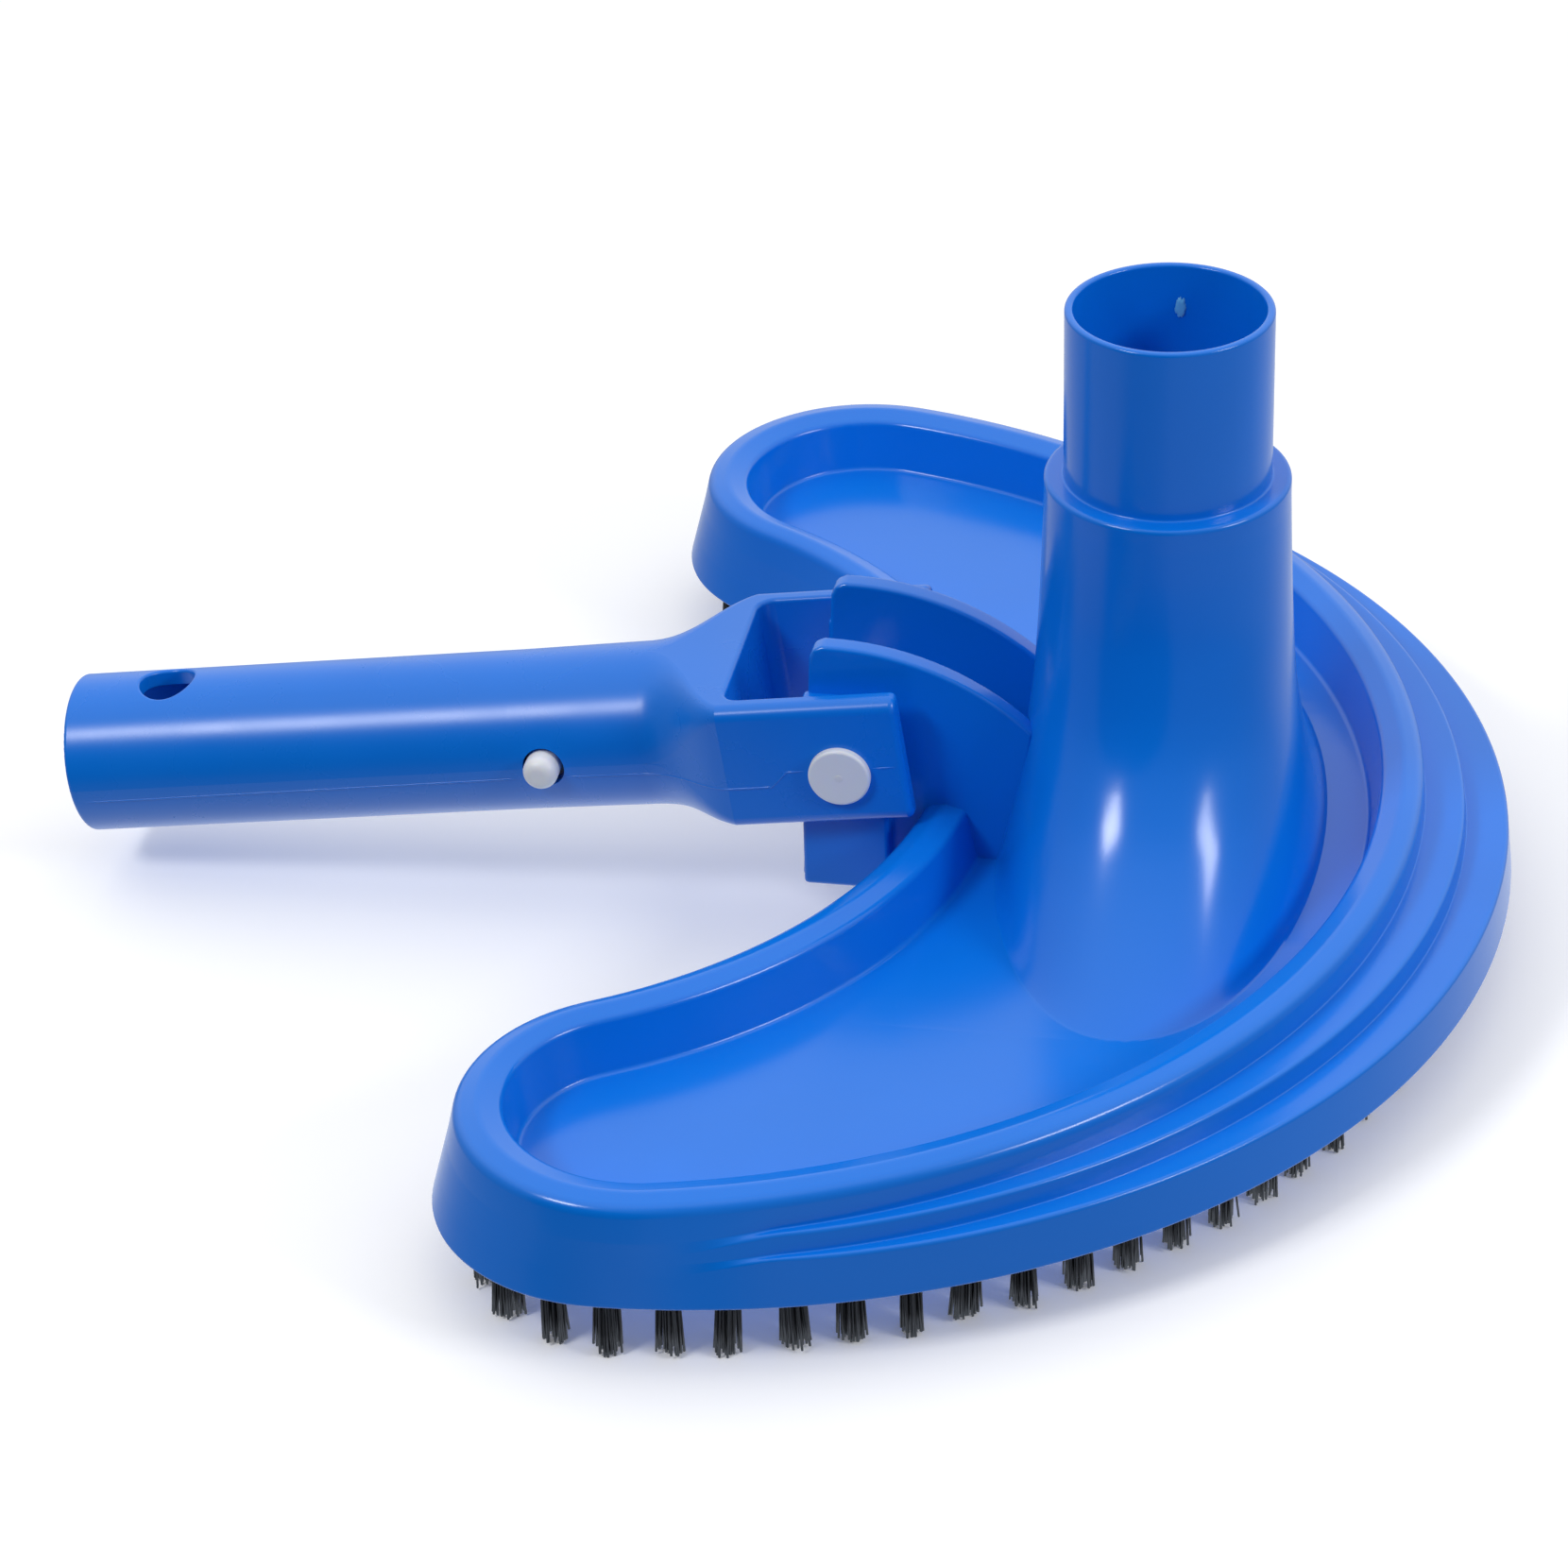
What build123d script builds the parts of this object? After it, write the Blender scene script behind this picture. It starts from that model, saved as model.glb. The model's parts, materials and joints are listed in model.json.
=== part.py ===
"""Manual vacuum head: a half-moon pool vacuum head with a pole handle and a brush.

Millimetres, +Z up.  The origin is on the floor under the middle of the object.
The hose port points up, the pole handle leaves towards -X, and the object is
symmetric about the plane y = 0.
"""
from build123d import *
from math import atan2, cos, pi, radians, sin, sqrt
import os

# ---- driving dimensions -------------------------------------------------------
port_x = 74.6             # hose port axis, forward of the middle of the object
bristle_free = 14.0       # bristle length below the skirt
base_z = bristle_free     # bottom edge of the skirt
skirt_height = 9.9        # top of the skirt and its ledge, above the skirt's bottom edge
ledge_height = 13.8       # second ledge
rim_height = 20.2
rim_edge = 3.0            # edge roundings of the rim, outside and inside
pan_edge = 1.4
pan_height = 9.0          # top of the pan floor
pan_slope = 2.2           # how far the pan's walls lean in towards its floor
wall = 2.6
ceiling = pan_height - wall  # underside of the pan floor

collar_height = 86.8
port_height = 120.4
port_radius = 19.05       # slips into a 1 1/2 in hose cuff
port_bore = 17.5
collar_radius = 22.75

pin_x = port_x - 58.2     # hinge axis
pin_height = 31.1
pin_radius = 3.0
pin_clearance = 0.08
pin_head_radius = 5.9
pin_head_thickness = 1.5

ear_inner = 10.0          # half the gap between the two ears
ear_outer = 14.3
pad_outer = 18.6          # spacer pad that fills the gap between ear and yoke arm
arm_inner = 19.0
arm_outer = 23.5
arm_top = 15.0            # above the hinge axis, square to the tube
arm_bottom = -11.0
arm_end = -12.5           # past the hinge axis, away from the tube
slot_root = 21.0

handle_tilt = 8.0         # the tube points down by this angle at rest
tube_radius = 15.5
tube_bore = 12.5
tube_end = 156.7          # distance from hinge axis to the open end
tube_start = 40.0
tube_root_radius = 15.8   # tapers to the tube's radius just past the snap buttons
tube_taper_end = 66.0
tube_blind = 44.0
yoke_start = 22.0
yoke_corner = 2.5
slot_length = 44.0
slot_corner = 3.0
# flare from yoke to tube: distance, width, height, height of middle, corner radius
flare_sections = [(22.0, 47.0, 26.0, 2.0, 2.5), (28.0, 41.5, 27.6, 1.4, 7.0),
                  (34.0, 34.2, 30.4, 0.4, 13.2), (40.0, 31.6, 31.6, 0.0, 15.75)]
slot_edge = 0.9           # edge roundings
arm_edge = 1.2
mouth_edge = 0.8
hole_edge = 0.5
pin_head_edge = 0.6
dome_edge = 2.2
stop_at = 48.5            # small stop under the tube, just past the flare
stop_radius = 2.6
stop_proud = 0.9
stop_root = 1.5           # how deep the stop reaches into the tube's wall
lock_hole_at = 137.3
lock_hole_radius = 5.5

button_at = 60.0
button_radius = 3.4
button_hole_radius = 4.1
button_hole_shift = 0.25  # the button swings towards the yoke as it is pressed
button_proud = 3.2
clip_pivot_at = 106.0
clip_pivot_half = 6.5
clip_thickness = 1.8
clip_width = 8.0
clip_gap = 0.6
clip_overrun = 4.5
clip_tip_half = 10.6
cap_stud_radius = 1.6
cap_stud_length = 8.0
cap_stud_slack = 0.5      # between the stud's end and the bottom of its bore

tuft_radius = 2.3
tuft_pitch = 10.5
tuft_shift = 0.5          # the first tuft stands off the middle by this share of the pitch
tuft_depth = 5.0          # how deep a tuft is set in the brush ring
tufts_per_row = 4
ring_bottom = 0.6         # brush ring, above the skirt's bottom edge
ring_top = 6.3
ring_border = 6.0         # brush ring's inner edge, past the middle of the tufts
ring_gap = 0.4
screw_radius = 1.5
screw_head_radius = 2.4
screw_clearance = 0.1
screw_head_thickness = 1.6
screw_length = 8.0
screw_pull = 3.5
screw_shares = (0.06, 0.19, 0.31, 0.43, 0.57, 0.69, 0.81, 0.94)  # places round the ring

ear_back = 22.0           # ear plate's end inside the throat, behind the port axis
ear_left = 67.6           # ear plate's free edge at its foot, behind the port axis
ear_lean = 2.3            # how much the free edge leans in towards the top
ear_foot = 2.0
ear_top = 53.0
ear_corner = 2.5
ear_curve_x = 62.0        # centre of the curved top edge, behind the port axis
ear_curve_radius = 56.0
notch_inset = 45.4        # where the ear plate meets the notch wall, behind the port axis
pad_left = 66.6
pad_right = 50.0
pad_foot = 3.0
pad_top = 43.0
pad_corner = 1.5


# ---- plan outlines --------------------------------------------------------------
class Moon:
    """A half-moon outline: a big arc, two round lobe tips and a round notch.

    big_x, big_r: centre and radius of the big arc; notch_x, notch_r: the same for
    the notch; tip_r: radius of the lobe tips, tangent to both.
    """

    def __init__(self, big_x, big_r, tip_r, notch_x, notch_r):
        self.big_x, self.big_r, self.tip_r = port_x + big_x, big_r, tip_r
        self.notch_x, self.notch_r = port_x + notch_x, notch_r
        to_big, to_notch = big_r - tip_r, notch_r + tip_r
        gap = self.big_x - self.notch_x
        along = (to_notch**2 - to_big**2 + gap**2) / (2 * gap)
        self.tip_x = self.notch_x + along
        self.tip_y = sqrt(to_notch**2 - along**2)

    def grown(self, by):
        """The same outline moved outwards by a distance."""
        return Moon(self.big_x - port_x, self.big_r + by, self.tip_r + by,
                    self.notch_x - port_x, self.notch_r - by)

    def corners(self):
        """Joints between arcs on the +Y side, and a middle point of the tip arc."""
        big_turn = atan2(self.tip_y, self.tip_x - self.big_x)
        notch_turn = atan2(self.tip_y, self.tip_x - self.notch_x)
        on_big = (self.big_x + self.big_r * cos(big_turn), self.big_r * sin(big_turn))
        on_notch = (self.notch_x + self.notch_r * cos(notch_turn), self.notch_r * sin(notch_turn))
        middle_turn = (big_turn + notch_turn + pi) / 2
        middle = (self.tip_x + self.tip_r * cos(middle_turn), self.tip_y + self.tip_r * sin(middle_turn))
        return on_big, middle, on_notch

    def draw(self):
        """Draw the closed outline in the active line builder."""
        on_big, middle, on_notch = self.corners()
        flip = lambda p: (p[0], -p[1])
        ThreePointArc(flip(on_big), (self.big_x + self.big_r, 0), on_big)
        ThreePointArc(on_big, middle, on_notch)
        ThreePointArc(on_notch, (self.notch_x + self.notch_r, 0), flip(on_notch))
        ThreePointArc(flip(on_notch), flip(middle), flip(on_big))


def outline(moon, height):
    """A face with a moon outline at a height above the skirt's bottom edge."""
    with BuildSketch(Plane.XY.offset(base_z + height)) as face:
        with BuildLine():
            moon.draw()
        make_face()
    return face.sketch


def ring(foot, foot_height, top, top_height, mode=Mode.ADD):
    """A solid with straight walls between two moon outlines."""
    loft([outline(foot, foot_height), outline(top, top_height)], ruled=True, mode=mode)


base_line = Moon(-84.6, 151.0, 34.0, -146.5, 100.0)
skirt_line = base_line.grown(-1.0)
ledge_foot = Moon(-87.0, 144.4, 31.5, -145.0, 101.0)
rim_foot = Moon(-103.0, 152.2, 33.3, -143.5, 100.4)
rim_line = rim_foot.grown(-0.4)
pan_line = Moon(-102.0, 143.2, 25.5, -141.3, 106.4)
floor_line = pan_line.grown(-pan_slope)
tuft_line = Moon(-89.8, 144.2, 26.8, -147.6, 108.6)

# half-widths of the throat across and along the head, by height
throat_sections = [(8.0, 31.0, 72.0), (18.0, 28.6, 57.0), (30.0, 26.4, 42.0), (44.0, 24.6, 30.5),
                   (60.0, 23.6, 24.6), (76.0, 23.0, 23.0), (collar_height, collar_radius, collar_radius)]


def throat(inset, mode=Mode.ADD):
    """Loft the throat, or its hollow when inset by the wall thickness."""
    sections = []
    for height, half_x, half_y in throat_sections:
        with BuildSketch(Plane.XY.offset(base_z + height)) as section:
            with Locations((port_x, 0)):
                Ellipse(half_x - inset, half_y - inset)
        sections.append(section.sketch)
    loft(sections, mode=mode)


# ---- head shell -------------------------------------------------------------------
with BuildPart() as head_shell:
    # skirt, the two ledges and the rim, each with straight walls that merge at the lobes
    ring(base_line, 0, skirt_line, skirt_height)
    ring(ledge_foot, skirt_height - 1, ledge_foot.grown(-0.6), ledge_height)
    ring(rim_foot, skirt_height - 1, rim_line, rim_height)
    fillet(head_shell.edges().group_by(Axis.Z)[-1], rim_edge)

    # pan
    ring(floor_line, pan_height, pan_line.grown(0.6), rim_height + 3, Mode.SUBTRACT)
    fillet(head_shell.edges().group_by(Axis.Z)[-1], pan_edge)

    # hollow under the pan, where the brush ring sits
    ring(base_line.grown(-wall), 0, base_line.grown(-wall), ceiling, Mode.SUBTRACT)

    # hinge ears, with the spacer pads that the yoke arms turn against
    for side in (-1, 1):
        with BuildSketch(Plane.XZ.offset(-side * ear_inner)):
            with BuildLine():
                foot = (port_x - ear_left, base_z + ear_foot)
                top_left = (port_x - ear_left + ear_lean, base_z + ear_top)
                curve_x = port_x - ear_curve_x
                curve_z = base_z + ear_top - ear_curve_radius
                drop = ear_curve_radius - sqrt(ear_curve_radius**2 - (ear_curve_x - ear_back)**2)
                back = (port_x - ear_back, base_z + ear_top - drop)
                shoulder = (curve_x, base_z + ear_top)
                middle_turn = atan2(back[1] - curve_z, back[0] - curve_x) / 2 + pi / 4
                middle = (curve_x + ear_curve_radius * cos(middle_turn),
                          curve_z + ear_curve_radius * sin(middle_turn))
                tuck = ear_corner * (1 - sqrt(0.5))
                low_corner = (top_left[0] - 0.1, top_left[1] - ear_corner)
                high_corner = (top_left[0] + ear_corner, top_left[1])
                Line(foot, low_corner)
                ThreePointArc(low_corner, (top_left[0] + tuck, top_left[1] - tuck), high_corner)
                Line(high_corner, shoulder)
                ThreePointArc(shoulder, middle, back)
                Polyline(back, (back[0], base_z + ceiling),
                         (port_x - notch_inset, base_z + ceiling),
                         (port_x - notch_inset, foot[1]), foot)
            make_face()
        extrude(amount=-side * (ear_outer - ear_inner))
        with BuildSketch(Plane.XZ.offset(-side * ear_outer)):
            with Locations((port_x - (pad_left + pad_right) / 2, base_z + (pad_foot + pad_top) / 2)):
                RectangleRounded(pad_left - pad_right, pad_top - pad_foot, pad_corner)
        extrude(amount=-side * (pad_outer - ear_outer))

    # throat and hose port
    throat(0)
    with BuildSketch(Plane.XY.offset(base_z + collar_height)):
        with Locations((port_x, 0)):
            Circle(port_radius)
    extrude(amount=port_height - collar_height)
    throat(wall, Mode.SUBTRACT)
    with BuildSketch(Plane.XY.offset(base_z)):
        with Locations((port_x, 0)):
            Ellipse(throat_sections[0][1] - wall, throat_sections[0][2] - wall)
    extrude(amount=throat_sections[0][0], mode=Mode.SUBTRACT)
    with BuildSketch(Plane.XY.offset(base_z + collar_height - wall)):
        with Locations((port_x, 0)):
            Circle(collar_radius - 1)
    extrude(amount=wall)
    with BuildSketch(Plane.XY.offset(base_z + collar_height - wall)):
        with Locations((port_x, 0)):
            Circle(port_bore)
    extrude(amount=port_height, mode=Mode.SUBTRACT)

    # bore for the hinge pin
    with BuildSketch(Plane.XZ.offset(-pad_outer - 1)):
        with Locations((pin_x, base_z + pin_height)):
            Circle(pin_radius + pin_clearance)
    extrude(amount=2 * pad_outer + 2, mode=Mode.SUBTRACT)


# ---- brush ring, its screws and the tufts -----------------------------------------------
def walk(moon, pitch, shift):
    """Points evenly spaced round a moon outline, the first by the front of the big arc."""
    with BuildLine(mode=Mode.PRIVATE) as line:
        moon.draw()
    path = line.wire()
    count = round(path.length / pitch)
    start = path.param_at_point(Vector(moon.big_x + moon.big_r, 0, 0))
    return [path.position_at((start + (step + shift) / count) % 1) for step in range(count)]


ring_outer = base_line.grown(-wall - ring_gap)
ring_inner = tuft_line.grown(-ring_border)
tuft_points = walk(tuft_line, tuft_pitch, tuft_shift)


def screw_point(share):
    """A point midway between two tufts, pulled inwards along the big arc."""
    step = round(len(tuft_points) * share)
    middle = (tuft_points[step] + tuft_points[step - 1]) * 0.5
    inwards = Vector(tuft_line.big_x, 0, 0) - middle
    pull = screw_pull if inwards.length > tuft_line.big_r - 1 else 0
    return middle + inwards.normalized() * pull


screw_points = [screw_point(share) for share in screw_shares]

with BuildPart() as brush_ring:
    with BuildSketch(Plane.XY.offset(base_z + ring_bottom)):
        with BuildLine():
            ring_outer.draw()
        make_face()
        with BuildLine():
            ring_inner.draw()
        make_face(mode=Mode.SUBTRACT)
    extrude(amount=ring_top - ring_bottom)
    with BuildSketch(Plane.XY.offset(base_z + ring_bottom)):
        with Locations(*tuft_points):
            Circle(tuft_radius)
    extrude(amount=tuft_depth, mode=Mode.SUBTRACT)
    with BuildSketch(Plane.XY.offset(base_z + ring_bottom)):
        with Locations(*screw_points):
            Circle(screw_radius + screw_clearance)
    extrude(amount=ring_top, mode=Mode.SUBTRACT)
    with BuildSketch(Plane.XY.offset(base_z + ring_bottom)):
        with Locations(*screw_points):
            Circle(screw_head_radius + screw_clearance)
    extrude(amount=screw_head_thickness, mode=Mode.SUBTRACT)

with BuildPart() as ring_screws:
    with BuildSketch(Plane.XY.offset(base_z + ring_bottom)):
        with Locations(*screw_points):
            Circle(screw_head_radius)
    extrude(amount=screw_head_thickness)
    with BuildSketch(Plane.XY.offset(base_z + ring_bottom)):
        with Locations(*screw_points):
            Circle(screw_radius)
    extrude(amount=screw_length)

with head_shell:
    with BuildSketch(Plane.XY.offset(base_z + ceiling)):
        with Locations(*screw_points):
            Circle(screw_radius)
    extrude(amount=ring_bottom + screw_length - ceiling, mode=Mode.SUBTRACT)

tuft_rows = []
for first in range(0, len(tuft_points), tufts_per_row):
    with BuildPart() as tuft_row:
        with BuildSketch():
            with Locations(*tuft_points[first:first + tufts_per_row]):
                Circle(tuft_radius)
        extrude(amount=base_z + ring_bottom + tuft_depth)
    tuft_rows.append(tuft_row)


# ---- handle ------------------------------------------------------------------------------
tilt = radians(handle_tilt)
pin_centre = Vector(pin_x, 0, base_z + pin_height)
outwards = Vector(-cos(tilt), 0, -sin(tilt))   # along the tube, towards its open end
upwards = Vector(-sin(tilt), 0, cos(tilt))


def across(distance):
    """Plane square to the tube at a distance from the hinge axis; its local y is up."""
    return Plane(origin=pin_centre + outwards * distance, x_dir=(0, -1, 0), z_dir=outwards)


def level(height):
    """Plane along the tube at a height over its axis; its local x runs outwards."""
    return Plane(origin=pin_centre + upwards * height, x_dir=outwards, z_dir=upwards)


def beside(distance, side):
    """Plane facing sideways at a distance from the tube axis; its local x runs outwards."""
    return Plane(origin=pin_centre + Vector(0, side * distance, 0), x_dir=outwards, z_dir=(0, side, 0))


def from_pin(edge):
    """The middle of an edge, seen from the hinge axis: along the tube, sideways and up."""
    middle = edge @ 0.5 - pin_centre
    return middle.dot(outwards), middle.Y, middle.dot(upwards)


def near(value, target):
    """Whether two lengths agree closely enough to pick an edge."""
    return abs(value - target) < 0.05


def round_handle(test, radius):
    """Round the handle's edges whose middle, seen from the hinge axis, passes a test."""
    fillet(handle.edges().filter_by(lambda edge: test(*from_pin(edge))), radius)


arm_height = arm_top - arm_bottom
arm_middle = (arm_top + arm_bottom) / 2

with BuildPart() as handle:
    with BuildSketch(across(tube_start)):
        Circle(tube_root_radius)
    with BuildSketch(across(tube_taper_end)):
        Circle(tube_radius)
    loft()
    with BuildSketch(across(tube_taper_end)):
        Circle(tube_radius)
    extrude(amount=tube_end - tube_taper_end)

    # flare from the round tube to the square yoke
    flare = []
    for distance, width, height, middle, corner in flare_sections:
        with BuildSketch(across(distance), mode=Mode.PRIVATE) as section:
            with Locations((0, middle)):
                RectangleRounded(width, height, corner)
        flare.append(section.sketch)
    loft(flare)

    # yoke, its slot and the bores
    with BuildSketch(across(arm_end)):
        with Locations((0, arm_middle)):
            RectangleRounded(2 * arm_outer, arm_height, yoke_corner)
    extrude(amount=yoke_start - arm_end)
    with BuildSketch(level(-tube_radius - 2)):
        with Locations((slot_root - slot_length / 2, 0)):
            RectangleRounded(slot_length, 2 * arm_inner, slot_corner)
    extrude(amount=2 * tube_radius + 4, mode=Mode.SUBTRACT)
    with BuildSketch(across(tube_blind)):
        Circle(tube_bore)
    extrude(amount=tube_end, mode=Mode.SUBTRACT)
    with BuildSketch(level(0)):
        with Locations((lock_hole_at, 0)):
            Circle(lock_hole_radius)
    extrude(amount=tube_radius + 2, mode=Mode.SUBTRACT)
    for side in (-1, 1):
        with BuildSketch(beside(0, side)):
            with Locations((button_at - button_hole_shift, 0)):
                Circle(button_hole_radius)
        extrude(amount=tube_radius + 2, mode=Mode.SUBTRACT)
    with BuildSketch(beside(-arm_outer - 1, 1)):
        Circle(pin_radius)
    extrude(amount=2 * arm_outer + 2, mode=Mode.SUBTRACT)

    # small stop under the tube, against which the pole's end rests
    with BuildSketch(level(-tube_root_radius - stop_proud)):
        with Locations((stop_at, 0)):
            Circle(stop_radius)
    extrude(amount=stop_proud + stop_root)

    # rounded edges
    round_handle(lambda u, y, w: u < slot_root + 0.1 and abs(y) < arm_inner + 0.05
                 and not near(u, arm_end) and (near(w, arm_top) or near(w, arm_bottom)), slot_edge)
    round_handle(lambda u, y, w: near(u, arm_end), arm_edge)
    round_handle(lambda u, y, w: near(u, tube_end), mouth_edge)
    round_handle(lambda u, y, w: near(w, tube_radius) and abs(u - lock_hole_at) < 10, hole_edge)
    round_handle(lambda u, y, w: near(w, -tube_root_radius - stop_proud) and near(y, 0), hole_edge)


# ---- hinge pin and its cap -------------------------------------------------------------------
with BuildPart() as hinge_pin:
    with BuildSketch(beside(arm_outer, -1)):
        Circle(pin_head_radius)
    extrude(amount=pin_head_thickness)
    fillet(hinge_pin.edges().group_by(Axis.Y)[0], pin_head_edge)
    with BuildSketch(beside(-arm_outer, -1)):
        Circle(pin_radius)
    extrude(amount=2 * arm_outer)
    with BuildSketch(beside(-arm_outer, -1)):
        Circle(cap_stud_radius)
    extrude(amount=cap_stud_length, mode=Mode.SUBTRACT)

with BuildPart() as hinge_pin_cap:
    with BuildSketch(beside(arm_outer, 1)):
        Circle(pin_head_radius)
    extrude(amount=pin_head_thickness)
    fillet(hinge_pin_cap.edges().group_by(Axis.Y)[-1], pin_head_edge)
    with BuildSketch(beside(arm_outer - cap_stud_length + cap_stud_slack, 1)):
        Circle(cap_stud_radius)
    extrude(amount=cap_stud_length - cap_stud_slack)


# ---- snap clip -------------------------------------------------------------------------------
with BuildPart() as snap_clip_bend:
    with BuildSketch(level(-clip_width / 2)):
        with Locations((clip_pivot_at, 0)):
            Circle(clip_pivot_half + clip_thickness / 2)
            Circle(clip_pivot_half - clip_thickness / 2, mode=Mode.SUBTRACT)
            with Locations((-clip_pivot_half, 0)):
                Rectangle(2 * clip_pivot_half, 4 * clip_pivot_half, mode=Mode.SUBTRACT)
    extrude(amount=clip_width)

snap_clip_legs = {}
for name, side in (("left", 1), ("right", -1)):
    with BuildPart() as leg:
        with BuildSketch(level(-clip_width / 2)):
            with BuildLine():
                # local y of this plane runs to -Y, so the side is turned over
                root = Vector(clip_pivot_at - clip_gap, -side * clip_pivot_half)
                tip = Vector(button_at - clip_overrun, -side * clip_tip_half)
                half = Vector(0, clip_thickness / 2)
                Polyline(root + half, tip + half, tip - half, root - half, close=True)
            make_face()
        extrude(amount=clip_width)
        with BuildSketch(beside(clip_tip_half - clip_thickness / 2, side)):
            with Locations((button_at, 0)):
                Circle(button_radius)
        extrude(amount=tube_root_radius + button_proud - clip_tip_half + clip_thickness / 2)
        dome = leg.edges().filter_by(GeomType.CIRCLE).sort_by(Axis.Y)
        fillet(dome[-1] if side > 0 else dome[0], dome_edge)
    snap_clip_legs[name] = leg


# ---- labels and files ---------------------------------------------------------------------------
pieces = {
    "head_shell": head_shell,
    "brush_ring": brush_ring,
    "ring_screws": ring_screws,
    "handle": handle,
    "hinge_pin": hinge_pin,
    "hinge_pin_cap": hinge_pin_cap,
    "snap_clip_bend": snap_clip_bend,
    "snap_clip_left": snap_clip_legs["left"],
    "snap_clip_right": snap_clip_legs["right"],
}
for number, tuft_row in enumerate(tuft_rows, 1):
    pieces[f"tufts_{number:02d}"] = tuft_row

os.makedirs("parts", exist_ok=True)
for name, piece in pieces.items():
    piece.part.label = name
    export_step(piece.part, f"parts/{name}.step")
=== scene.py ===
"""Looks of a manual pool vacuum head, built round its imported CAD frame."""
import json
from math import atan2, cos, degrees, hypot, pi, radians, sin, sqrt, tan
import random

import bmesh
import bpy
from mathutils import Matrix, Vector
from mathutils.bvhtree import BVHTree
from mathutils.geometry import tessellate_polygon


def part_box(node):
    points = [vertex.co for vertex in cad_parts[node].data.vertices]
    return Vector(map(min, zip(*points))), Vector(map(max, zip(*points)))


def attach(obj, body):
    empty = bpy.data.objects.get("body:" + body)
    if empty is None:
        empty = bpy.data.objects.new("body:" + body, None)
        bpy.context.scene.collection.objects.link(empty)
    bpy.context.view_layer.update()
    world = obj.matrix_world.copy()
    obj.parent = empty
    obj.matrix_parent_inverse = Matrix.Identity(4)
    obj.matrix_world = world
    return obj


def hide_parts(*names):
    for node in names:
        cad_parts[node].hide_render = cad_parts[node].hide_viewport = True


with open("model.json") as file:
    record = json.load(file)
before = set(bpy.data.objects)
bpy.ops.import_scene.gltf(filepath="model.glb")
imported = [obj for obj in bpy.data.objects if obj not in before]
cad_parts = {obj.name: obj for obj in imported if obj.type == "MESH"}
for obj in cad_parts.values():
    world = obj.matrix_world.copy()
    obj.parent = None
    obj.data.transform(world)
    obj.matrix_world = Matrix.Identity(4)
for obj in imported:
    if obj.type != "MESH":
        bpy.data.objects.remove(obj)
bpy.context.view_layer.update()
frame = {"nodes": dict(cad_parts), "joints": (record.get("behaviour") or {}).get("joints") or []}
random.seed(7)
MM = 0.001

# ---- dimensions, in millimetres ----------------------------------------------------------
# the head's own frame: x from the hose port's axis, z from the skirt's edge
shell_low, shell_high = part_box("head_shell")
FRONT = 66.4                # the head's front edge
PORT_X = shell_high.x / MM - FRONT
BASE_Z = shell_low.z / MM
SKIN = 2.6                  # wall thickness
CEILING = 6.4               # underside of the tray
FLOOR = 9.0                 # top of the tray
TRAY_SLOPE = 2.2            # how far the tray's walls lean in towards its floor
LEDGE_LOW, LEDGE_HIGH = 9.9, 13.85
RIM = 20.2                  # top of the rim
FADE_END, FADE_LENGTH = -66.0, 20.0     # where the ledges melt into the lobes' smooth walls
AROUND = 128                # steps round the throat and port

COLLAR = 86.8               # top of the collar
COLLAR_RADIUS = 22.75
PORT = 120.4                # top of the port
PORT_RADIUS = 19.05
PORT_BORE = 17.5
NECK_BORE = 20.2            # the duct's radius just under the port
# half-widths of the throat across and along the head, by height
THROAT = [(9.0, 30.8, 72.3), (10.0, 30.2, 70.0), (12.5, 29.6, 65.2), (18.0, 28.5, 56.6),
          (24.0, 27.4, 48.4), (32.0, 26.1, 39.4), (44.0, 24.6, 30.2), (60.0, 23.6, 24.8),
          (72.0, 23.1, 23.2), (82.8, COLLAR_RADIUS, COLLAR_RADIUS)]
# heights of the throat's rows of points, closer together near the tray
THROAT_HEIGHTS = ([9.0, 9.4, 10.0, 11.0, 12.5, 14.5, 16.5, 19.0, 22.0]
                  + [25.0 + 3.0 * i for i in range(19)] + [81.0])

EAR_INNER, EAR_OUTER = 10.0, 14.3       # the ear plate's faces, from the middle plane
EAR_MIDDLE = 12.0
PAD_INNER, PAD_OUTER = 13.0, 18.6       # the spacer pad's, which starts inside the plate
EAR_FOOT, EAR_TOP = 2.0, 53.0
EAR_CURVE_X, EAR_CURVE_RADIUS = -62.0, 56.0
EAR_BACK = -22.9            # where the crest runs into the throat
EAR_HEEL = 7.6              # height of the plate's edge inside the tray's floor
EAR_HEEL_X = -45.3          # where that edge turns down the notch's wall
EAR_BITE = 1.3              # how deep the plate reaches into the throat's wall
EAR_EDGE, PAD_EDGE = 0.8, 0.9           # edge roundings
PIN_BORE = 3.08             # radius of the hinge pin's bore
DRILL_LENGTH = 60

TUBE_TILT = radians(8)      # the tube points down by this angle at rest
TUBE_RADIUS = 15.5
LINE_WIDTH, LINE_HEIGHT = 0.45, 0.13    # parting lines
LINE_STEP = 1.2
SCAR_HEIGHT = 111.8
STUB_AT = 149.0             # from the hinge along the tube

FILAMENTS = 44              # in each tuft
TUFT_FOOT = 1.9             # radius of a tuft where it leaves the ring
SCREW_HEAD, SCREW_HEAD_DEPTH, SCREW_SHANK = 2.4, 1.6, 1.5
RECESS_REACH, RECESS_HALF_WIDTH, RECESS_DEPTH = 1.35, 0.28, 1.1

joints = {joint["name"]: joint for joint in frame["joints"]}
hinge_point = Vector(joints["handle_hinge"]["pos_m"])
tube_along = Vector((-cos(TUBE_TILT), 0, -sin(TUBE_TILT)))     # towards the tube's open end
tube_up = Vector((-sin(TUBE_TILT), 0, cos(TUBE_TILT)))


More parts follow.
